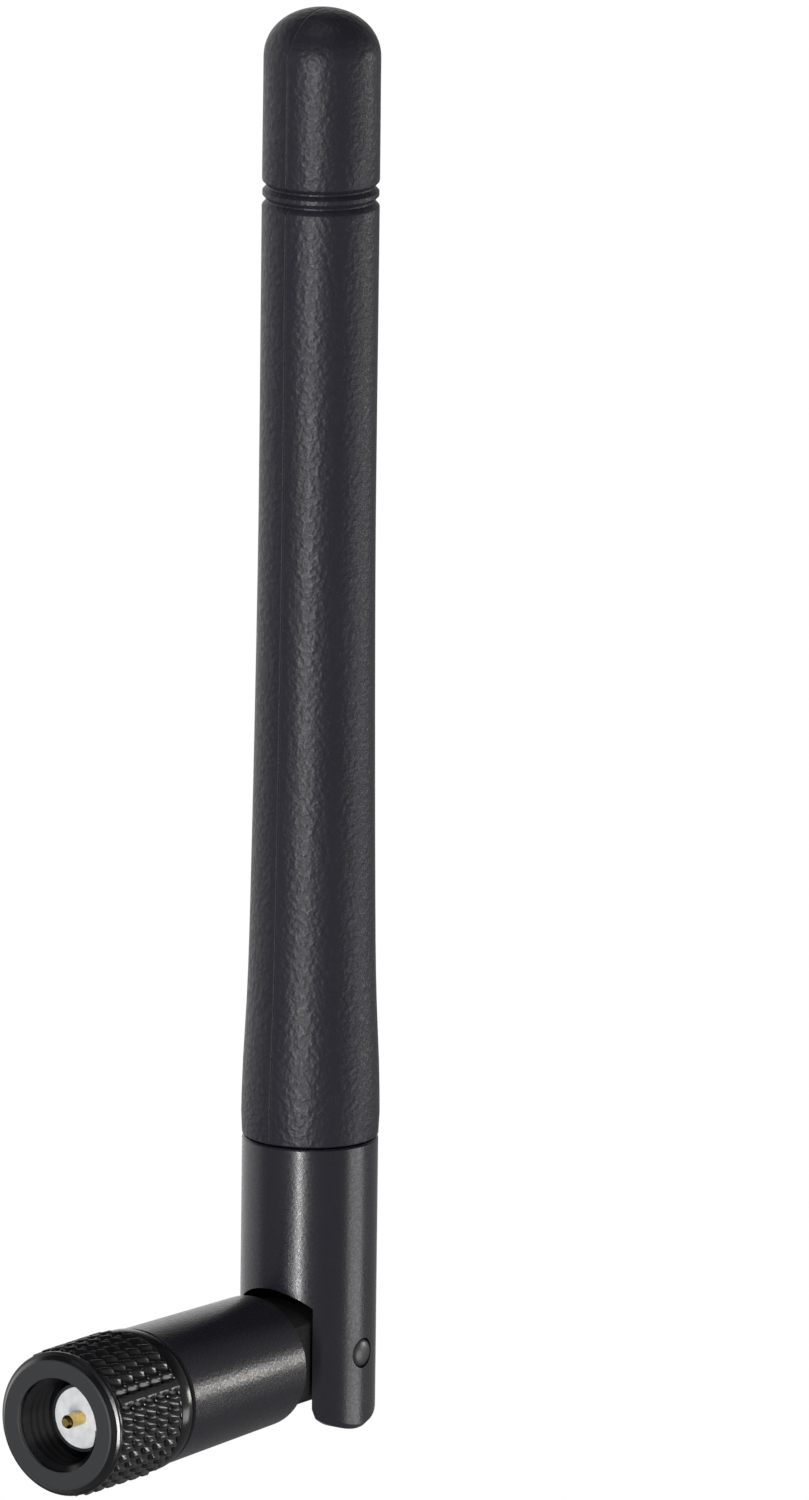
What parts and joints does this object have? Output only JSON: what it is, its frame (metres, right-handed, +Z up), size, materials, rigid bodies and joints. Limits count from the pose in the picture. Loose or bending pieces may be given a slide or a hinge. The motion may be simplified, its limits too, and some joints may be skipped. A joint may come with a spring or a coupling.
{
  "type": "hinged wifi whip antenna",
  "caption": "Black hinged whip antenna with a grooved round-ended cover, a swivel barrel and a knurled screw-on coaxial plug, folded to a right angle.",
  "frame": {"origin": "middle of the plug's mating plane, the front face of the outer contact", "axes": "-Y out of the plug's mouth, +Z up along the whip as folded, hinge axis along X"},
  "size_m": [0.01, 0.0329, 0.0962],
  "materials": {
    "cover_plastic": "fine matt moulding",
    "fork_plastic": "satin moulding",
    "barrel_plastic": "satin moulding",
    "pin_black": "blackened steel",
    "nut_black": "gloss black plate on brass",
    "body_black": "black plate on brass",
    "insulator_white": "smooth fluoroplastic",
    "contact_gold": "gold plate",
    "spring_bronze": "phosphor bronze",
    "seal_rubber": "silicone rubber",
    "bush_brass": "turned brass",
    "ferrule_brass": "nickel plated brass",
    "jacket_black": "extruded fluoroplastic",
    "braid_copper": "tinned copper braid",
    "insulation_white": "extruded fluoroplastic",
    "conductor_copper": "silver plated copper",
    "radiator_brass": "drawn brass tube",
    "solder_grey": "solder",
    "shrink_black": "shrunk tube",
    "spacer_white": "moulded plastic"
  },
  "bodies": {
    "connector": {"plug_body": "body_black", "plug_insulator": "insulator_white", "centre_contact": "contact_gold", "nut_retaining_ring": "spring_bronze", "sealing_gasket": "seal_rubber", "crimp_ferrule": "ferrule_brass", "coax_lower_jacket": "jacket_black", "coax_lower_braid": "braid_copper", "coax_lower_insulation": "insulation_white", "coax_lower_conductor": "conductor_copper"},
    "coupling_nut": {"coupling_nut": "nut_black"},
    "swivel": {"hinge_barrel": "barrel_plastic", "swivel_bush": "bush_brass", "swivel_friction_washer": "seal_rubber", "coax_hinge_loop": "jacket_black"},
    "whip": {"fork_housing": "fork_plastic", "hinge_pins": "pin_black", "radome": "cover_plastic", "coax_upper_jacket": "jacket_black", "coax_upper_braid": "braid_copper", "coax_upper_insulation": "insulation_white", "coax_upper_conductor": "conductor_copper", "sleeve_radiator": "radiator_brass", "solder_ring": "solder_grey", "upper_radiator": "radiator_brass", "heat_shrink": "shrink_black", "sleeve_spacer": "spacer_white", "tip_spacer": "spacer_white"}
  },
  "joints": [
    {"name": "nut_spin", "type": "hinge", "parent": "connector", "child": "coupling_nut", "pos_m": [0, 0, 0], "axis": [0, 1, 0], "continuous": true},
    {"name": "swivel", "type": "hinge", "parent": "connector", "child": "swivel", "pos_m": [0, 0.0128, 0], "axis": [0, 1, 0], "range_deg": [-180, 180]},
    {"name": "tilt", "type": "hinge", "parent": "swivel", "child": "whip", "pos_m": [0, 0.0257, 0], "axis": [-1, 0, 0], "range_deg": [0, 90], "deforming": ["coax_hinge_loop"]}
  ]
}
